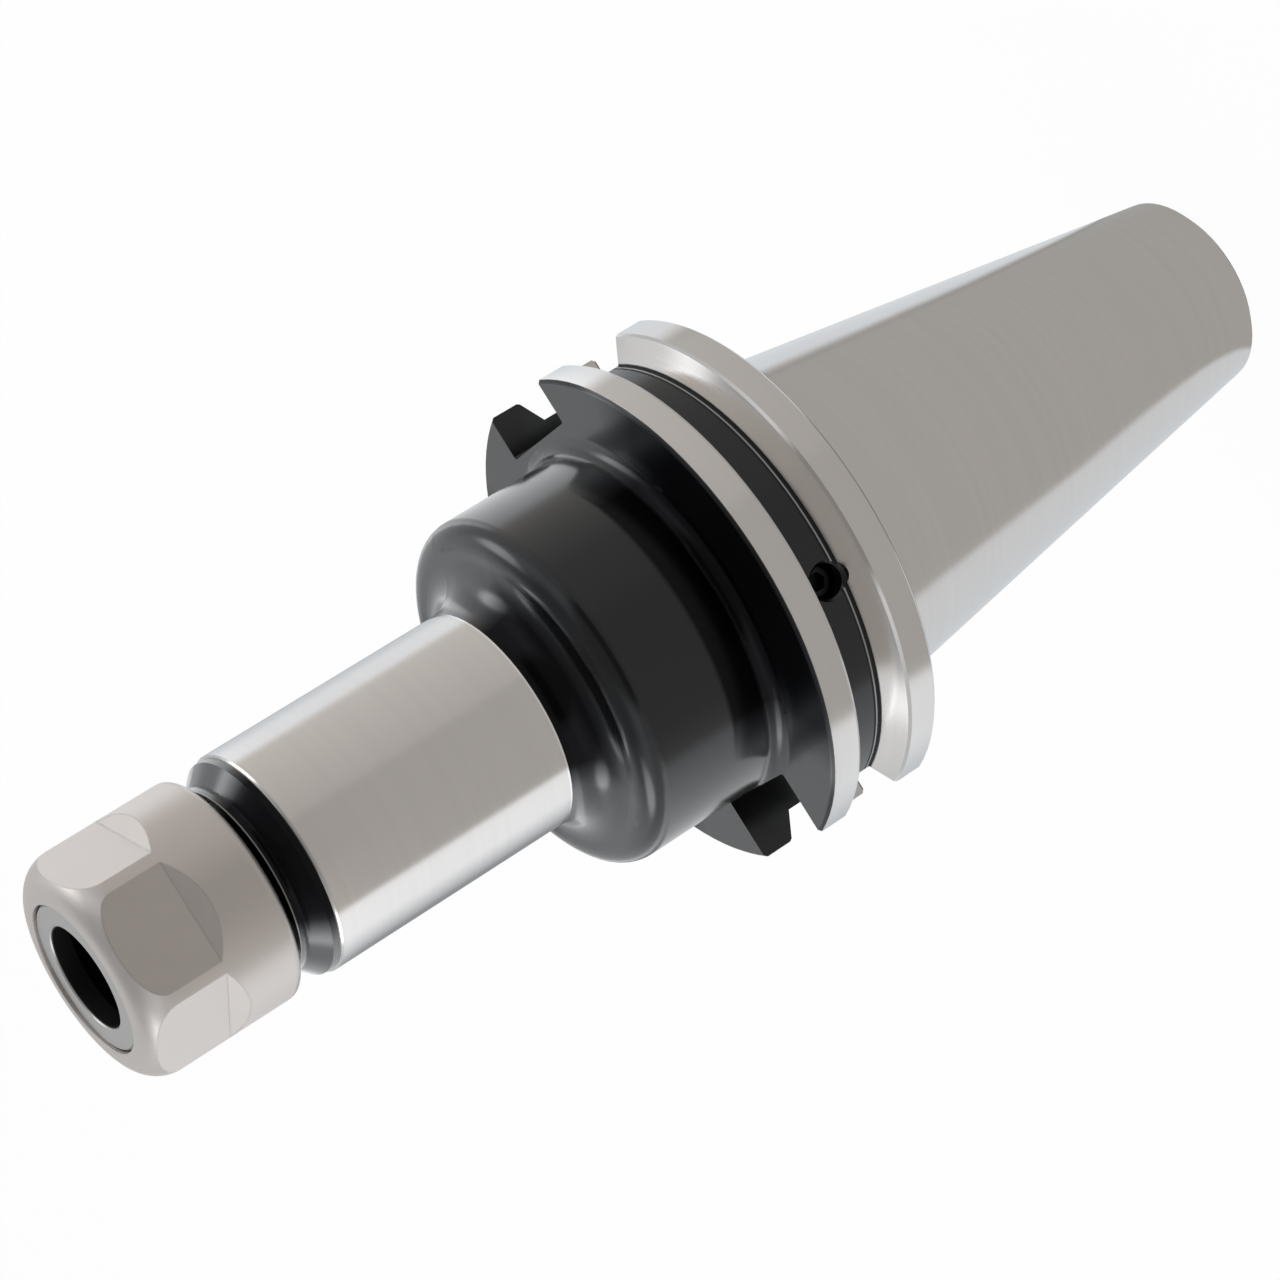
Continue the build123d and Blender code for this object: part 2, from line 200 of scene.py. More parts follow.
class Bench:
    """One material on the bench: makes its nodes and wires them together."""

    def __init__(self, tree: bpy.types.NodeTree) -> None:
        """Clears a node tree to start from nothing.

        Args:
            tree: the node tree of a material or of the world.
        """
        self.tree = tree
        self.tree.nodes.clear()

    def node(
        self,
        kind: str,
        settings: Optional[Dict[str, Any]] = None,
        inputs: Optional[Dict[Union[str, int], Any]] = None,
    ) -> bpy.types.Node:
        """Adds a node, sets what it is set to and then feeds its sockets.

        Args:
            kind: the node's type name.
            settings: its properties by name.
            inputs: the value, wire or socket for each input, by name or number.

        Returns:
            The new node.
        """
        made = self.tree.nodes.new(kind)
        for name, value in (settings or {}).items():
            setattr(made, name, value)
        for name, value in (inputs or {}).items():
            source = value.socket if isinstance(value, Wire) else value
            if isinstance(source, bpy.types.NodeSocket):
                self.tree.links.new(source, made.inputs[name])
            else:
                made.inputs[name].default_value = source
        return made

    def maths(self, operation: str, *values: Value, clamp: bool = False) -> Wire:
        """Adds a Math node.

        Args:
            operation: its operation.
            values: its inputs in order.
            clamp: whether the result is kept from 0 to 1.

        Returns:
            The result's wire.
        """
        settings = {"operation": operation, "use_clamp": clamp}
        made = self.node("ShaderNodeMath", settings, dict(enumerate(values)))
        return Wire(self, made.outputs[0])

    def split(self, vector: bpy.types.NodeSocket) -> Tuple[Wire, Wire, Wire]:
        """The three parts of a vector, each as a wire."""
        parts = self.node("ShaderNodeSeparateXYZ", {}, {0: vector}).outputs
        return Wire(self, parts[0]), Wire(self, parts[1]), Wire(self, parts[2])

    def scale(self, vector: bpy.types.NodeSocket, factor: Value) -> bpy.types.NodeSocket:
        """A vector or colour, made longer or brighter by a factor."""
        inputs = {0: vector, "Scale": factor}
        return self.node("ShaderNodeVectorMath", {"operation": "SCALE"}, inputs).outputs[0]

    def noise(self, place: bpy.types.NodeSocket, grain: Grain) -> Wire:
        """Fractal noise over the piece, as a wire from 0 to 1.

        Args:
            place: the position in millimetres.
            grain: how fine the noise is.

        Returns:
            The noise's wire.
        """
        stretched = {0: place, 1: grain.stretch}
        scaled = self.node("ShaderNodeVectorMath", {"operation": "MULTIPLY"}, stretched)
        inputs = {
            "Vector": scaled.outputs[0],
            "Scale": 1.0,
            "Detail": grain.detail,
            "Roughness": grain.rough,
        }
        made = self.node("ShaderNodeTexNoise", {"noise_dimensions": "3D"}, inputs)
        return Wire(self, made.outputs[0])

    def blend(self, factor: Value, first: Any, second: Any) -> bpy.types.NodeSocket:
        """Mixes two colours.

        Args:
            factor: 0 for the first colour and 1 for the second.
            first: a colour or a colour socket.
            second: a colour or a colour socket.

        Returns:
            The mixed colour's socket.
        """
        one = (*first, 1.0) if isinstance(first, tuple) else first
        two = (*second, 1.0) if isinstance(second, tuple) else second
        made = self.node("ShaderNodeMix", {"data_type": "RGBA"}, {0: factor, 6: one, 7: two})
        return made.outputs[2]

    def mottle(self, factor: Wire, colour: Colour, tones: Span) -> bpy.types.NodeSocket:
        """Spreads one colour over two tones of itself.

        Args:
            factor: 0 for the darker tone and 1 for the lighter.
            colour: the colour they are made from.
            tones: what it is multiplied by for each.

        Returns:
            The mixed colour's socket.
        """
        dark, light = (tuple(min(1.0, part * tone) for part in colour) for tone in tones)
        return self.blend(factor, dark, light)

    def bump(
        self,
        height: Wire,
        distance: float,
        strength: float,
        under: Optional[bpy.types.NodeSocket] = None,
    ) -> bpy.types.NodeSocket:
        """Turns a height into a normal.

        Args:
            height: the height's wire, from 0 to 1.
            distance: how far 1 stands above 0, in millimetres.
            strength: how much of it shows.
            under: a normal to start from.

        Returns:
            The normal's socket.
        """
        inputs = {"Height": height, "Distance": distance * MM, "Strength": strength}
        if under is not None:
            inputs["Normal"] = under
        return self.node("ShaderNodeBump", {}, inputs).outputs[0]

    def soft_edges(self, radius: float) -> bpy.types.NodeSocket:
        """A normal that rounds the sharp edges of the piece, as a broken edge does.

        Args:
            radius: the width of the rounding in millimetres.

        Returns:
            The normal's socket.
        """
        return self.node("ShaderNodeBevel", {"samples": 6}, {"Radius": radius * MM}).outputs[0]

    def glow(self, colour: Any, strength: float) -> bpy.types.NodeSocket:
        """A surface that shines in a colour or colour socket."""
        inputs = {"Color": colour, "Strength": strength}
        return self.node("ShaderNodeEmission", {}, inputs).outputs[0]

    def mix(
        self,
        factor: Union[Wire, bpy.types.NodeSocket],
        first: bpy.types.NodeSocket,
        second: bpy.types.NodeSocket,
    ) -> bpy.types.NodeSocket:
        """Mixes two surfaces: 0 gives the first and 1 the second."""
        return self.node("ShaderNodeMixShader", {}, {0: factor, 1: first, 2: second}).outputs[0]

    def finish(
        self, surface: bpy.types.NodeSocket, kind: str = "ShaderNodeOutputMaterial"
    ) -> None:
        """Leads a surface to the tree's output node."""
        self.node(kind, {}, {"Surface": surface})


@dataclass(frozen=True)
class Place:
    """Where a point of the surface is, in millimetres."""

    point: bpy.types.NodeSocket
    x: Wire
    y: Wire
    z: Wire
    radius: Wire


@dataclass(frozen=True)
class Metal:
    """One metal surface: what it looks like before its wear and tool marks."""

    colour: Colour
    metallic: float
    roughness: float


@dataclass(frozen=True)
class Finish:
    """What every finish shares: a name and how it is put on a piece."""

    name: str

    def paint(self, bench: Bench, place: Place) -> Dict[str, Any]:
        """The shader inputs of this finish.

        Args:
            bench: the material being built.
            place: where the surface point is.

        Returns:
            The Principled shader's inputs by name.
        """
        raise NotImplementedError

    def material(self) -> bpy.types.Material:
        """The finish as a material, made once and then used again."""
        known = bpy.data.materials.get(self.name)
        if known is not None and known.get("made_here"):
            return known
        made = bpy.data.materials.new(self.name)
        made["made_here"] = True
        made.use_nodes = True
        bench = Bench(made.node_tree)
        point = bench.scale(bench.node("ShaderNodeTexCoord").outputs["Object"], 1 / MM)
        x, y, z = bench.split(point)
        radius = bench.maths("SQRT", x * x + y * y)
        inputs = self.paint(bench, Place(point, x, y, z, radius))
        shader = bench.node("ShaderNodeBsdfPrincipled", {}, inputs)
        bench.finish(shader.outputs[0])
        return made

    def dress(self, piece: bpy.types.Object) -> None:
        """Puts the finish on every slot of a piece.

        Args:
            piece: the CAD node or the new piece.
        """
        piece.data.materials.clear()
        piece.data.materials.append(self.material())


@dataclass(frozen=True)
class GroundAndBlackened(Finish):
    """Black oxide all over, ground back to bright steel on the taper, the rims and the nose.

    Each span is counted from the station along the axis or the radius that it goes with.
    """

    steel: Metal = Metal((0.770, 0.752, 0.735), 1.0, 0.16)
    steel_tones: Span = (0.94, 1.05)
    oxide: Metal = Metal((0.0028, 0.0029, 0.0033), 0.0, 0.19)
    oxide_tones: Span = (0.8, 1.25)
    # painted shade: a darker, mirror-like black for the front and the back of the collar's foot
    # and the shoulder
    painted_shade: Metal = Metal((0.016, 0.016, 0.018), 1.0, 0.19)
    cold_gloss: Colour = (0.93, 0.97, 1.0)
    gloss_index: float = 1.6
    # the roughness of the oil coat, which carries the painted sheen
    sheen_roughness: float = 0.19
    root_roughness: float = 0.5

    gauge_radius: float = 22.225
    taper_slope: float = 7 / 48
    taper_skin: float = 0.4
    taper_rear: float = -68.2
    taper_front: float = 0.58
    rim_rear: float = 3.3
    rim_front: float = 18.66
    rim_foot: float = 0.15
    groove_bottom: float = 28.6
    groove_middle: float = 11.07
    groove_root: float = 9.1
    slot_half_width: float = 8.16
    slot_floor: float = 22.3
    nose_rear: float = 42.55
    nose_front: float = 75.2
    nose_radius: float = 14.0
    nose_skin: float = 1.0
    # where the painted shade on the collar's foot ends toward the nose
    painted_shade_front: float = 25.4
    shoulder: float = 38.4
    neck_front: float = 79.0
    neck_radius: float = 11.6
    neck_skin: float = 0.15

    root_spans: Tuple[Span, Span] = ((-0.12, 0.34), (0.60, 0.86))
    root_height: Span = (-0.3, 0.5)
    hairline_span: Span = (0.38, 0.56)
    hairline_height: Span = (-0.1, 0.1)
    hairline_share: float = 0.5
    neck_line_span: Span = (-0.16, 0.05)
    neck_line_share: float = 0.3
    # painted highlight: a thin white line at the nose's rear edge
    nose_highlight_span: Span = (0.0, 0.22)
    nose_highlight_share: float = 0.9

    # how far the painted shade stands off the front rim, how softly it fades, and where it turns
    # from the front and the back to the sides
    painted_shade_gap: float = 0.2
    painted_shade_soft: float = 0.6
    painted_shade_aside: Step = (0.72, 0.18)
    # where the painted sheen begins off the front rim, and where it turns to the holder's two
    # sides
    sheen_gap: float = 0.3
    sheen_aside: Step = (0.62, 0.30)
    shoulder_soft: float = 1.2
    edge: float = 0.08
    radial_edge: float = 0.1
    fine_edge: float = 0.05
    slot_edge: float = 0.02

    wheel_lines: Grain = Grain((0.035, 0.035, 5.5), 3.0, 0.6)
    wheel_bands: Grain = Grain((0.02, 0.02, 0.9))
    clouds: Grain = Grain((0.25, 0.25, 0.25), 3.0, 0.6)
    etching: Grain = Grain((3.0, 3.0, 3.0))
    etching_height: float = 0.6

    def ground(self, place: Place) -> Wire:
        """The mask of the surfaces that were ground after blackening.

        Args:
            place: where the surface point is.

        Returns:
            1 on ground steel and 0 on black oxide.
        """
        z, radius, soft = place.z, place.radius, self.radial_edge
        cone = z * self.taper_slope + (self.gauge_radius - self.taper_skin)
        taper = z.between(self.taper_rear, self.taper_front, self.edge)
        taper = taper.both(radius.above(cone, soft))
        rims = z.between(self.rim_rear, self.rim_front, self.edge)
        rims = rims.both(radius.above(self.groove_bottom + self.rim_foot, soft))
        in_slot = abs(place.y).below(self.slot_half_width, self.slot_edge)
        in_slot = in_slot.both(abs(place.x).above(self.slot_floor, soft))
        rims = rims.both(1 - in_slot.both(z.above(self.groove_middle, soft)))
        nose = z.between(self.nose_rear, self.nose_front, self.edge)
        nose = nose.both(radius.above(self.nose_radius - self.nose_skin, soft))
        return taper.either(rims).either(nose)

    def worn(self, place: Place) -> Wire:
        """The mask of the light lines in the groove's root and on the neck's front edge.

        Args:
            place: where the surface point is.

        Returns:
            How bare the steel is in the lines, and 0 elsewhere.
        """
        root = place.z.around(self.groove_root, self.hairline_span, self.edge)
        depth = place.radius.around(self.groove_bottom, self.hairline_height, self.fine_edge)
        neck = place.z.around(self.neck_front, self.neck_line_span, self.edge)
        height = place.radius.above(self.neck_radius - self.neck_skin, self.radial_edge)
        root = (root * self.hairline_share).both(depth)
        return root.either((neck * self.neck_line_share).both(height))

    def root_lines(self, place: Place) -> Wire:
        """The mask of two black, rough lines along the groove's root corner.

        Args:
            place: where the surface point is.

        Returns:
            1 in the lines and 0 elsewhere.
        """
        first, second = (
            place.z.around(self.groove_root, span, self.edge) for span in self.root_spans
        )
        depth = place.radius.around(self.groove_bottom, self.root_height, self.radial_edge)
        return first.either(second).both(depth)

    def painted_shade_black(self, place: Place, bright: Wire) -> Wire:
        """The mask of painted shade: a deeper black at the collar's foot and from the shoulder
        forward, toward the front and the back.

        Args:
            place: where the surface point is.
            bright: the mask of the ground steel.

        Returns:
            1 in the deepest black and 0 elsewhere.
        """
        low = self.rim_front + self.painted_shade_gap
        recess = place.z.between(low, self.painted_shade_front, self.painted_shade_soft)
        recess = recess.either(place.z.above(self.shoulder, self.shoulder_soft))
        aside = abs(place.x) / place.radius
        return recess.both(aside.below(*self.painted_shade_aside)) * (1 - bright)

    def oil_and_sheen(self, place: Place, bright: Wire, painted_shade: Wire) -> Wire:
        """How much painted sheen lies over the black on the holder's two sides: an oil coat laid
        only where the lamp boxes glint in it.

        Args:
            place: where the surface point is.
            bright: the mask of the ground steel.
            painted_shade: the mask of the painted shade, which the coat leaves out.

        Returns:
            The weight of the sheen, at half strength behind the shoulder.
        """
        sheen = place.z.above(self.shoulder, self.shoulder_soft) * 0.5 + 0.5
        front = place.z.above(self.rim_front + self.sheen_gap, self.radial_edge)
        aside = abs(place.x) / place.radius
        return front.both(1 - bright).both(aside.above(*self.sheen_aside)) * (1 - painted_shade) * sheen

    def paint(self, bench: Bench, place: Place) -> Dict[str, Any]:
        """Grinding lines and a cloudy polish on the steel, a faint mottle on the black.

        The black is darkened with painted shade at the collar's foot and from the shoulder
        forward, toward the front and the back. An oil coat on the holder's two sides is a painted
        sheen, and a white line at the nose's rear edge is a painted highlight.
        """
        lines = bench.noise(place.point, self.wheel_lines)
        bands = bench.noise(place.point, self.wheel_bands)
        cloud = bench.noise(place.point, self.clouds)
        grain = bench.noise(place.point, self.etching)
        bright = self.ground(place).either(self.worn(place))
        height = lines * bright + grain * (1 - bright) * self.etching_height
        root = self.root_lines(place)
        bright = bright.both(1 - root)
        # painted shade: the black darkened toward the front and the back at the collar's foot and
        # from the shoulder forward
        painted_shade = self.painted_shade_black(place, bright)
        light = bench.mottle(lines * 0.5 + bands * 0.5, self.steel.colour, self.steel_tones)
        # painted highlight: the steel turns white in a thin line along the nose's rear edge
        nose_highlight = place.z.around(self.nose_rear, self.nose_highlight_span, self.fine_edge)
        light = bench.blend(nose_highlight * self.nose_highlight_share, light, WHITE)
        dark = bench.mottle(cloud, self.oxide.colour, self.oxide_tones)
        dark = bench.blend(painted_shade, dark, self.painted_shade.colour)
        steel_rough = lines.swing(0.08) + cloud.swing(0.04) + self.steel.roughness
        oxide_rough = grain.swing(0.06) + cloud.swing(0.06) + self.oxide.roughness
        rough = steel_rough * bright + oxide_rough * (1 - bright) + root * self.root_roughness
        return {
            "Base Color": bench.blend(bright, dark, light),
            "Metallic": bright * self.steel.metallic + painted_shade * self.painted_shade.metallic,
            "Roughness": rough,
            "Specular Tint": (*self.cold_gloss, 1.0),
            "Normal": bench.bump(height, distance=0.002, strength=0.4),
            # painted sheen: the coat lies only on the holder's two sides, at full weight from the
            # shoulder forward
            "Coat Weight": self.oil_and_sheen(place, bright, painted_shade),
            "Coat Roughness": self.sheen_roughness,
            "Coat IOR": self.gloss_index,
            "IOR": self.gloss_index,
        }


@dataclass(frozen=True)
class SatinNickel(Finish):
    """The nut's dull nickel plating: warm grey, even and finely grained."""

    plate: Metal = Metal((0.670, 0.631, 0.602), 0.85, 0.38)
    tones: Span = (0.96, 1.04)
    blasting: Grain = Grain((6.0, 6.0, 6.0), 3.0, 0.6)
    clouds: Grain = Grain((0.3, 0.3, 0.3), 3.0, 0.55)
    broken_edge: float = 0.25

    def paint(self, bench: Bench, place: Place) -> Dict[str, Any]:
        """A fine bead-blasted grain under the plating, cloudy in its gloss."""
        grain = bench.noise(place.point, self.blasting)
        cloud = bench.noise(place.point, self.clouds)
        rounded = bench.soft_edges(self.broken_edge)
        return {
            "Base Color": bench.mottle(cloud, self.plate.colour, self.tones),
            "Metallic": self.plate.metallic,
            "Roughness": grain.swing(0.08) + cloud.swing(0.08) + self.plate.roughness,
            "Normal": bench.bump(grain, distance=0.004, strength=0.35, under=rounded),
        }


@dataclass(frozen=True)
class TurnedSteel(Finish):
    """Bare hardened steel with fine turning rings, as on the thrust ring and the threads."""

    steel: Metal
    rings_per_mm: float = 4.0
    tones: Span = (0.9, 1.08)
    clouds: Grain = Grain((0.4, 0.4, 0.4))

    def paint(self, bench: Bench, place: Place) -> Dict[str, Any]:
        """Rings around the axis from the lathe, on faces and on cylinders alike."""
        section = {0: place.radius, 1: place.z, 2: 0.0}
        across = bench.node("ShaderNodeCombineXYZ", {}, section).outputs[0]
        rings = bench.noise(across, Grain((self.rings_per_mm, self.rings_per_mm, 1.0)))
        cloud = bench.noise(place.point, self.clouds)
        return {
            "Base Color": bench.mottle(rings * 0.6 + cloud * 0.4, self.steel.colour, self.tones),
            "Metallic": self.steel.metallic,
            "Roughness": rings.swing(0.10) + self.steel.roughness,
            "Normal": bench.bump(rings, distance=0.003, strength=0.5),
        }


@dataclass(frozen=True)
class ShadedInside(TurnedSteel):
    """Turned steel on the outside, with painted shade inside: the bore and the cone behind it are
    black.
    """

    bore_radius: float = 6.5
    face: float = 99.2
    outside: float = 9.05
    edge: float = 0.05
    # painted shade: the black for the ring's bore and the cone behind it
    black: Metal = Metal((0.003, 0.003, 0.003), 0.0, 0.5)

    def paint(self, bench: Bench, place: Place) -> Dict[str, Any]:
        """The turned finish, crossed with black painted shade wherever the surface looks inward.
        """
        inputs = super().paint(bench, place)
        behind = place.z.below(self.face, self.edge).both(
            place.radius.below(self.outside, self.edge)
        )
        inside = place.radius.below(self.bore_radius, self.edge).either(behind)
        inputs["Base Color"] = bench.blend(inside, inputs["Base Color"], self.black.colour)
        inputs["Metallic"] = (1 - inside) * self.steel.metallic
        inputs["Roughness"] = inputs["Roughness"] * (1 - inside) + inside * self.black.roughness
        return inputs


@dataclass(frozen=True)
class BlackOxide(Finish):
    """Oiled black oxide on the screws."""

    oxide: Metal = Metal((0.004, 0.004, 0.005), 0.0, 0.40)
    tones: Span = (0.8, 1.3)
    etching: Grain = Grain((3.0, 3.0, 3.0))
    gloss_index: float = 1.5

    def paint(self, bench: Bench, place: Place) -> Dict[str, Any]:
        """A fine mottle in colour and gloss."""
        grain = bench.noise(place.point, self.etching)
        return {
            "Base Color": bench.mottle(grain, self.oxide.colour, self.tones),
            "Metallic": self.oxide.metallic,
            "Roughness": grain.swing(0.1) + self.oxide.roughness,
            "Normal": bench.bump(grain, distance=0.003, strength=0.4),
            "IOR": self.gloss_index,
        }


GROUND_AND_BLACKENED = GroundAndBlackened("ground_and_blackened_steel")
SATIN_NICKEL = SatinNickel("satin_nickel")
RING_STEEL = ShadedInside("honed_ring_steel", Metal((0.540, 0.534, 0.522), 1.0, 0.32))
THREAD_STEEL = TurnedSteel("bare_thread_steel", Metal((0.56, 0.56, 0.57), 1.0, 0.22), 6.0)
SPRING_STEEL = TurnedSteel("blued_spring_steel", Metal((0.20, 0.21, 0.23), 1.0, 0.35), 8.0)
SCREW_OXIDE = BlackOxide("oiled_black_oxide")


# ------------------------------------------------------------------ modelling helpers


def nothing_selected() -> None:
    """Leaves object mode with nothing selected and nothing active."""
    if bpy.context.object is not None and bpy.context.object.mode != "OBJECT":
        bpy.ops.object.mode_set(mode="OBJECT")
    for other in bpy.context.view_layer.objects:
        other.select_set(False)


def apply_modifier(piece: bpy.types.Object, kind: str, **settings: Any) -> None:
    """Adds a modifier to the active piece and applies it.

    Args:
        piece: the piece, which is the active object.
        kind: the modifier's type.
        settings: its properties.
    """
    modifier = piece.modifiers.new(kind.lower(), kind)
    for name, value in settings.items():
        setattr(modifier, name, value)
    bpy.ops.object.modifier_apply(modifier=modifier.name)


@dataclass
class ScrewThread:
    """A right-hand screw thread: one ridge wound along a shaft or in a bore.

    The ridge is wound too long at both ends and then trimmed. The cut's own tolerance has to
    stay far below the ridge's size, because Blender's usual one leaves a cap across the bore.
    """

    name: str
    body: str
    slot: Slot
    side: Side
    root_radius: float
    crest_radius: float
    root_width: float
    crest_width: float
    pitch: float
    rear: float
    front: float
    finish: Finish
    phase: float = 0.0
    steps: int = 96
    lead_turns: int = 2
    spare_turns: int = 5
    tolerance: float = 1e-7
    smooth_angle: float = 25

    def profile(self) -> bpy.types.Object:
        """The ridge's section at the start of the first turn.

        Returns:
            A one-faced mesh in the XZ plane, on the +X side of the axis.
        """
        nothing_selected()
        middle = (self.root_radius + self.crest_radius) / 2 * MM
        start = (self.rear - self.lead_turns * self.pitch + self.phase) * MM
        bpy.ops.mesh.primitive_plane_add(
            size=1.0, location=(middle, 0, start), rotation=(pi / 2, 0, 0)
        )
        piece = bpy.context.object
        piece.name = piece.data.name = self.name
        depth = abs(self.crest_radius - self.root_radius) * MM
        piece.scale = (depth, self.root_width * MM, 1.0)
        bpy.ops.object.transform_apply(location=True, rotation=True, scale=True)
        bpy.ops.object.mode_set(mode="EDIT")
        bpy.ops.mesh.select_all(action="DESELECT")
        bpy.ops.object.mode_set(mode="OBJECT")
        outward = self.side is Side.SHAFT
        for vertex in piece.data.vertices:
            vertex.select = (vertex.co.x > middle) == outward
        bpy.ops.object.mode_set(mode="EDIT")
        bpy.ops.transform.resize(
            value=(1.0, 1.0, self.crest_width / self.root_width),
            center_override=(self.crest_radius * MM, 0, start),
        )
        bpy.ops.object.mode_set(mode="OBJECT")
        return piece

    def trim(self, station: float, keep_front: bool) -> None:
        """Cuts the ridge off square to the axis and closes the cut.

        Args:
            station: where along the axis.
            keep_front: whether the part toward the nose stays.
        """
        bpy.ops.object.mode_set(mode="EDIT")
        bpy.ops.mesh.select_all(action="SELECT")
        bpy.ops.mesh.bisect(
            plane_co=(0, 0, station * MM),
            plane_no=(0, 0, 1),
            use_fill=True,
            clear_inner=keep_front,
            clear_outer=not keep_front,
            threshold=self.tolerance,
        )
        bpy.ops.object.mode_set(mode="OBJECT")

    def build(self) -> bpy.types.Object:
        """Winds the ridge, trims both ends and dresses it.

        Returns:
            The finished thread, riding on its body.
        """
        piece = self.profile()
        turns = int((self.front - self.rear) / self.pitch) + self.spare_turns
        apply_modifier(
            piece,
            "SCREW",
            axis="Z",
            angle=2 * pi,
            screw_offset=self.pitch * MM,
            iterations=turns,
            steps=self.steps,
            render_steps=self.steps,
            use_merge_vertices=False,
        )
        self.trim(self.rear, True)
        self.trim(self.front, False)
        bpy.ops.object.mode_set(mode="EDIT")
        bpy.ops.mesh.select_all(action="SELECT")
        bpy.ops.mesh.remove_doubles(threshold=self.tolerance)
        bpy.ops.mesh.normals_make_consistent(inside=False)
        bpy.ops.object.mode_set(mode="OBJECT")
        bpy.ops.object.shade_smooth_by_angle(angle=radians(self.smooth_angle))
        self.finish.dress(piece)
        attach(piece, self.body)
        return piece


# ------------------------------------------------------------------ the holder


@dataclass
class ChuckBody:
    """The one-piece body: taper, flange, collar, ground nose and its screw threads.

    The root of a ridge stands a little inside the wall that carries it, by the size "sunk".
    """

    nose_thread_rear: float = 79.8
    nose_thread_front: float = 92.3
    nose_pitch: float = 1.5
    nose_core_radius: float = 10.08
    nose_crest_radius: float = 11.0
    nose_root_width: float = 1.31
    nose_crest_width: float = 0.19
    stud_thread_rear: float = -63.45
    stud_thread_front: float = -39.65
    stud_pitch: float = 2.309
    stud_wall_radius: float = 7.9375
    stud_minor_radius: float = 6.75
    stud_root_width: float = 2.05
    stud_crest_width: float = 0.45
    sunk: float = 0.08
    screws: Tuple[str, ...] = ("groove_screw_near", "groove_screw_far", "stop_screw")

    def nose_thread(self) -> ScrewThread:
        """The fine thread on the nose that carries the nut."""
        return ScrewThread(
            name="nose_thread",
            body="chuck",
            slot=Slot.BODY,
            side=Side.SHAFT,
            root_radius=self.nose_core_radius - self.sunk,
            crest_radius=self.nose_crest_radius,
            root_width=self.nose_root_width,
            crest_width=self.nose_crest_width,
            pitch=self.nose_pitch,
            rear=self.nose_thread_rear,
            front=self.nose_thread_front,
            finish=THREAD_STEEL,
        )

    def stud_thread(self) -> ScrewThread:
        """The coarse thread in the small end, for the pull stud."""
        return ScrewThread(
            name="pull_stud_thread",
            body="chuck",
            slot=Slot.BODY,
            side=Side.BORE,
            root_radius=self.stud_wall_radius + self.sunk,
            crest_radius=self.stud_minor_radius,
            root_width=self.stud_root_width,
            crest_width=self.stud_crest_width,
            pitch=self.stud_pitch,
            rear=self.stud_thread_rear,
            front=self.stud_thread_front,
            finish=SCREW_OXIDE,
        )

    def build(self, nodes: Dict[str, bpy.types.Object]) -> List[bpy.types.Object]:
        """Dresses the body and its set screws, and winds its threads.

        Args:
            nodes: the CAD nodes by name.

        Returns:
            The pieces that were dressed or made.
        """
        GROUND_AND_BLACKENED.dress(nodes["chuck_body"])
        screws = [nodes[name] for name in self.screws]
        for screw in screws:
            SCREW_OXIDE.dress(screw)
        made = [self.nose_thread().build(), self.stud_thread().build()]
        return [nodes["chuck_body"], *screws, *made]


@dataclass
class ClampingNut:
    """The nut with its thread, the thrust ring inside it and the snap ring behind that."""

    thread_rear: float = 80.9
    thread_front: float = 91.0
    pitch: float = 1.5
    wall_radius: float = 11.05
    minor_radius: float = 10.19
    root_width: float = 1.27
    crest_width: float = 0.335
    sunk: float = 0.07

    def thread(self) -> ScrewThread:
        """The nut's own thread, half a pitch from the nose thread's crests."""
        return ScrewThread(
            name="nut_thread",
            body="nut",
            slot=Slot.NUT,
            side=Side.BORE,
            root_radius=self.wall_radius + self.sunk,
            crest_radius=self.minor_radius,
            root_width=self.root_width,
            crest_width=self.crest_width,
            pitch=self.pitch,
            rear=self.thread_rear,
            front=self.thread_front,
            finish=SATIN_NICKEL,
            phase=self.pitch / 2 - (self.thread_rear - ChuckBody.nose_thread_rear),
        )

    def build(self, nodes: Dict[str, bpy.types.Object]) -> List[bpy.types.Object]:
        """Dresses the nut and its rings, and winds its thread.

        Args:
            nodes: the CAD nodes by name.

        Returns:
            The pieces that were dressed or made.
        """
        nut, thrust, snap = (nodes[name] for name in ("clamping_nut", "thrust_ring", "snap_ring"))
        SATIN_NICKEL.dress(nut)
        RING_STEEL.dress(thrust)
        SPRING_STEEL.dress(snap)
        return [nut, thrust, snap, self.thread().build()]


# ------------------------------------------------------------------ studio and camera


@dataclass(frozen=True)
class Board:
    """One white board at the side: how far it stands above the floor's grey, and where more so.

    Near and far are the floor's inner and outer parts. The collar and the nut mirror a ring each.
    """

    near: float
    far: float
    collar: float
    nut: float

    def level(self, far: Wire, collar: Wire, nut: Wire) -> Wire:
        """The board's height above the grey.

        Args:
            far: the mask of the floor's outer part.
            collar: the mask of the ring that the collar mirrors.
            nut: the mask of the ring that the nut mirrors.

        Returns:
            The height as a wire.
        """
        return far * self.far + self.near + collar * self.collar + nut * self.nut


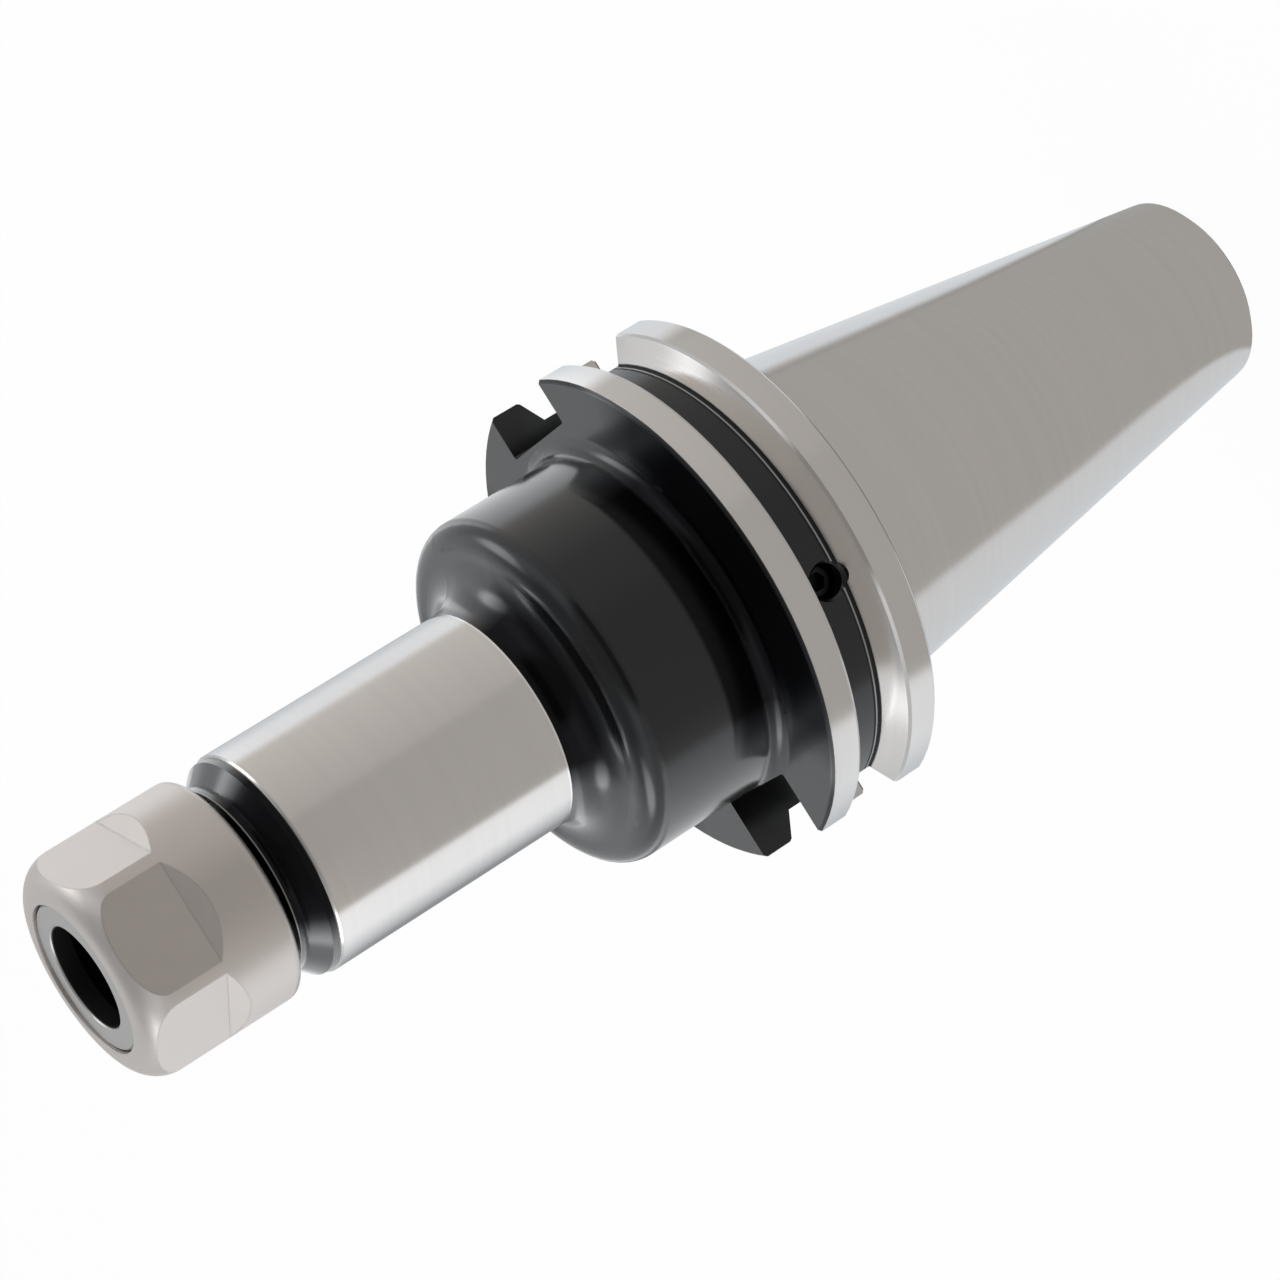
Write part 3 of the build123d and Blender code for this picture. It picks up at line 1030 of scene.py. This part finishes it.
@dataclass(frozen=True)
class FloorTones:
    """What metal mirrors from the floor: warm grey in front, white boards at the sides.

    Reaches are metres from the middle, and bearings are degrees from the camera's side. The
    boards' edges open or close by some degrees with the reach, and their tone falls off behind.
    """

    grey: float = 0.43
    front_tint: Colour = (1.04, 1.0, 0.955)
    nut_tint: Colour = (0.940, 0.870, 0.820)
    side_tint: Colour = (0.985, 1.0, 1.02)
    far_step: Step = (0.16, 0.10)
    nut_step: Step = (0.425, 0.03)
    collar_ring: Span = (0.192, 0.248)
    collar_soft: float = 0.008
    opening: float = 20.0

    left_board: Board = Board(near=0.32, far=0.30, collar=-0.23, nut=0.12)
    left_edge: float = 57
    left_opening: float = 20
    left_soft: float = 5
    left_fall_step: Step = (132, 40)
    left_fall: float = 0.72
    left_fall_nut_cut: float = 0.7

    right_board: Board = Board(near=0.40, far=0.09, collar=0.36, nut=0.18)
    right_edge: float = 121
    right_opening: float = 7
    right_far: float = 7
    right_soft: float = 9
    right_fall_step: Step = (150, 40)
    right_fall: float = 0.35

    seam_start: float = 9
    seam_end: float = 3
    seam_soft: float = 3
    seam_depth: float = 0.07

    rise_step: Step = (60, 80)
    rise: float = 0.13
    brink_step: Step = (22, 3)
    brink: float = 0.05
    nut_left_step: Step = (45, 50)
    nut_left_rise: float = 0.22
    nut_right_step: Step = (70, 100)
    nut_right_rise: float = 0.12
    nut_slope_cut: float = 0.5

    def colour(self, bench: Bench, reach: Wire, turn: Wire) -> bpy.types.NodeSocket:
        """The tone at one place of the floor.

        Args:
            bench: the floor's material.
            reach: the distance from the middle in metres.
            turn: the bearing in degrees, 0 toward the camera and positive toward +X.

        Returns:
            The tone as a colour socket.
        """
        far = reach.above(*self.far_step)
        nut = reach.above(*self.nut_step)
        collar = reach.between(*self.collar_ring, self.collar_soft)
        apart = bench.maths("MULTIPLY", reach, self.opening, clamp=True)
        bearing = turn * -1
        left = bearing.above(apart * self.left_opening + self.left_edge, self.left_soft)
        left_fall = bearing.above(*self.left_fall_step) * far
        right_edge = self.right_edge - apart * self.right_opening - far * self.right_far
        right = turn.above(right_edge, self.right_soft)
        right_fall = turn.above(*self.right_fall_step) * far
        seam = turn.above(right_edge - self.seam_start, self.seam_soft)
        seam = seam.both(turn.below(right_edge - self.seam_end, self.seam_soft)) * (1 - far)
        slope = turn.above(*self.rise_step) * self.rise + turn.above(*self.brink_step) * self.brink
        nut_left = bearing.above(*self.nut_left_step) * self.nut_left_rise * (1 - left)
        nut_right = turn.above(*self.nut_right_step) * self.nut_right_rise
        slope = slope * far + (nut_left + nut_right) * nut
        level = (
            left * self.left_board.level(far, collar, nut)
            - left_fall * self.left_fall * (1 - collar) * (1 - nut * self.left_fall_nut_cut)
            + slope
            + right * self.right_board.level(far, collar, nut)
            - right * slope * (1 - nut * self.nut_slope_cut)
            - right_fall * self.right_fall
            - seam * self.seam_depth
            + self.grey
        )
        front = bench.blend(nut, self.front_tint, self.nut_tint)
        return bench.scale(bench.blend(left.either(right), front, self.side_tint), level)


@dataclass(frozen=True)
class CanopyTones:
    """What metal mirrors from above: dark overhead and in front, light at the sides.

    Steps are parts of the unit direction that the canopy is seen in. A pair of lamp boxes,
    one on each side, stands for the light that the roundings glint with.
    """

    level: float = 0.74
    tint: Colour = (0.99, 1.0, 1.01)
    front_tint: Colour = (1.04, 1.0, 0.955)
    front_spread: float = 0.78
    front_step: Step = (0.05, 0.25)
    front_depth: float = 0.48
    top_step: Step = (0.77, 0.26)
    top_depth: float = 0.44
    back_step: Step = (0.80, 0.14)
    back_depth: float = 0.09
    rim_step: Step = (0.40, 0.08)
    rim_depth: float = 0.15
    box_way: Tuple[float, float, float] = (0.730, 0.260, 0.633)
    box_step: Step = (0.975, 0.026)
    box_glow: float = 2.4

    def colour(self, bench: Bench, x: Wire, y: Wire, z: Wire) -> bpy.types.NodeSocket:
        """The tone in one direction of the canopy.

        Args:
            bench: the canopy's material.
            x: the direction's part toward the right side.
            y: its part toward the back.
            z: its part upward.

        Returns:
            The tone as a colour socket.
        """
        front = (y * -self.front_spread - abs(x)).above(*self.front_step)
        overhead = z.above(*self.top_step)
        back = y.above(*self.back_step)
        along = abs(x) * self.box_way[0] + y * self.box_way[1] + z * self.box_way[2]
        box = along.above(*self.box_step)
        level = (
            box * (self.box_glow - self.level)
            - (front * self.front_depth).either(overhead * self.top_depth)
            - back * self.back_depth
            - z.below(*self.rim_step) * (1 - back) * self.rim_depth
            + self.level
        )
        return bench.scale(bench.blend(front, self.tint, self.front_tint), level)


@dataclass(frozen=True)
class SoftBox:
    """One soft lamp, in metres: where it hangs, and the width and height of its face.

    Its radiance is how bright the face is, where 1 is white.
    """

    name: str
    place: Tuple[float, float, float]
    size: Tuple[float, float]
    radiance: float

    def hang(self, target: Vector) -> None:
        """Hangs the lamp, hidden from the camera and from mirrors.

        Args:
            target: what it points at.
        """
        data = bpy.data.lights.new(self.name, "AREA")
        data.shape = "RECTANGLE"
        data.size, data.size_y = self.size
        data.energy = self.radiance * pi * self.size[0] * self.size[1]
        lamp = bpy.data.objects.new(self.name, data)
        place = Vector(self.place)
        lamp.location = place
        lamp.rotation_euler = (target - place).to_track_quat("-Z", "Y").to_euler()
        lamp.visible_camera = False
        lamp.visible_glossy = False
        bpy.context.scene.collection.objects.link(lamp)


SOFT_BOXES = (
    SoftBox("left_soft_box", (-0.75, 0.10, 0.45), (0.5, 0.7), 1.2),
    SoftBox("right_soft_box", (0.75, 0.15, 0.45), (0.5, 0.7), 1.2),
    SoftBox("top_soft_box", (0.0, 0.2, 0.9), (0.7, 0.5), 1.0),
)


@dataclass
class Studio:
    """A white floor, a canopy for the mirrored rays and soft lamps round the standing holder."""

    floor_half: float = 1.6
    floor_albedo: Colour = (0.8, 0.8, 0.8)
    floor_glow: float = 0.97
    white: float = 1.0
    sky: float = 0.55
    dome_radius: float = 1.5
    aim: Tuple[float, float, float] = (0, 0, 0.02)
    floor_tones: FloorTones = FloorTones()
    canopy_tones: CanopyTones = CanopyTones()

    def floor(self) -> bpy.types.Object:
        """The floor: white to the camera, graded to grey in front where metal mirrors it.

        Returns:
            The floor's object.
        """
        nothing_selected()
        low = CAD_BOX[0][2]
        bpy.ops.mesh.primitive_plane_add(size=2 * self.floor_half, location=(0, 0, low))
        floor = bpy.context.object
        floor.name = floor.data.name = "studio_floor"
        bpy.ops.object.transform_apply(location=True, rotation=True, scale=True)
        material = bpy.data.materials.new("white_floor")
        material.use_nodes = True
        bench = Bench(material.node_tree)
        x, y, _ = bench.split(bench.node("ShaderNodeTexCoord").outputs["Object"])
        reach = bench.maths("SQRT", x * x + y * y)
        turn = bench.maths("ARCTAN2", x, y * -1) * (180 / pi)
        tone = self.floor_tones.colour(bench, reach, turn)
        path = bench.node("ShaderNodeLightPath").outputs
        camera = Wire(bench, path["Is Camera Ray"]) * self.floor_glow
        diffuse = bench.node("ShaderNodeBsdfDiffuse", {}, {"Color": (*self.floor_albedo, 1.0)})
        seen = bench.glow((*WHITE, 1.0), self.white)
        shown = bench.mix(camera, diffuse.outputs[0], seen)
        bench.finish(bench.mix(path["Is Glossy Ray"], shown, bench.glow(tone, 1.0)))
        floor.data.materials.append(material)
        return floor

    def dome(self) -> bpy.types.Object:
        """The canopy that metal mirrors from above.

        Only mirrored rays see it, so it neither lights the holder nor hides the background.

        Returns:
            The canopy's object.
        """
        nothing_selected()
        bpy.ops.mesh.primitive_uv_sphere_add(segments=48, ring_count=24, radius=self.dome_radius)
        dome = bpy.context.object
        dome.name = dome.data.name = "studio_canopy"
        material = bpy.data.materials.new("graded_canopy")
        material.use_nodes = True
        bench = Bench(material.node_tree)
        where = bench.node("ShaderNodeTexCoord").outputs["Object"]
        way = bench.node("ShaderNodeVectorMath", {"operation": "NORMALIZE"}, {0: where})
        tone = self.canopy_tones.colour(bench, *bench.split(way.outputs[0]))
        bench.finish(bench.glow(tone, 1.0))
        dome.visible_camera = dome.visible_diffuse = dome.visible_transmission = False
        dome.visible_volume_scatter = dome.visible_shadow = False
        dome.data.materials.append(material)
        return dome

    def world(self) -> None:
        """White behind the holder for the camera, and an even soft sky for the light."""
        world = bpy.data.worlds.new("studio_world")
        world.use_nodes = True
        bpy.context.scene.world = world
        bench = Bench(world.node_tree)
        camera = Wire(bench, bench.node("ShaderNodeLightPath").outputs["Is Camera Ray"])
        strength = camera * (self.white - self.sky) + self.sky
        inputs = {"Color": (*WHITE, 1.0), "Strength": strength}
        glow = bench.node("ShaderNodeBackground", {}, inputs)
        bench.finish(glow.outputs[0], "ShaderNodeOutputWorld")

    def build(self) -> None:
        """Lays the floor, stretches the canopy, sets the sky and hangs the lamps."""
        self.floor()
        self.dome()
        self.world()
        for box in SOFT_BOXES:
            box.hang(Vector(self.aim))


@dataclass
class PhotographCamera:
    """The camera at the photograph's viewing angle: raised, and rolled so the axis runs aslant.

    Angles are degrees, the target and distance are millimetres from the frame's origin, and
    the clipping distances are metres.
    """

    target: Tuple[float, float, float] = (-0.88, 0.0, 21.58)
    distance: float = 501.3
    elevation: float = 24.96
    roll: float = 122.07
    lens: float = 120.94
    sensor: float = 36.0
    clip: Span = (0.01, 20)

    def axes(self) -> Tuple[Vector, Vector, Vector]:
        """The directions of the picture's right and top and of the way back to the camera."""
        rise, turn = radians(self.elevation), radians(self.roll)
        level = Vector((1.0, 0.0, 0.0))
        above = Vector((0.0, sin(rise), cos(rise)))
        back = Vector((0.0, -cos(rise), sin(rise)))
        return level * cos(turn) - above * sin(turn), level * sin(turn) + above * cos(turn), back

    def build(self) -> bpy.types.Object:
        """Sets the camera up.

        Returns:
            The scene's camera.
        """
        data = bpy.data.cameras.new("photograph_camera")
        data.sensor_width = self.sensor
        data.sensor_fit = "HORIZONTAL"
        data.lens = self.lens
        data.clip_start, data.clip_end = self.clip
        camera = bpy.data.objects.new("photograph_camera", data)
        right, top, back = self.axes()
        place = (Vector(self.target) + back * self.distance) * MM
        turned = Matrix((right, top, back)).transposed().to_4x4()
        camera.matrix_world = Matrix.Translation(place) @ turned
        bpy.context.scene.collection.objects.link(camera)
        bpy.context.scene.camera = camera
        return camera


def main() -> None:
    """Builds every sub-assembly in order, then the studio and the camera."""
    logging.basicConfig(level=logging.INFO, format="%(name)s: %(message)s", force=True)
    nodes = frame["nodes"]
    for assembly in (ChuckBody(), ClampingNut()):
        kind = type(assembly).__name__
        for piece in assembly.build(nodes):
            log.info("%s: %s, %d faces", kind, piece.name, len(piece.data.polygons))
    Studio().build()
    PhotographCamera().build()
    bpy.context.scene.view_settings.view_transform = "Standard"


if __name__ == "__main__":
    main()
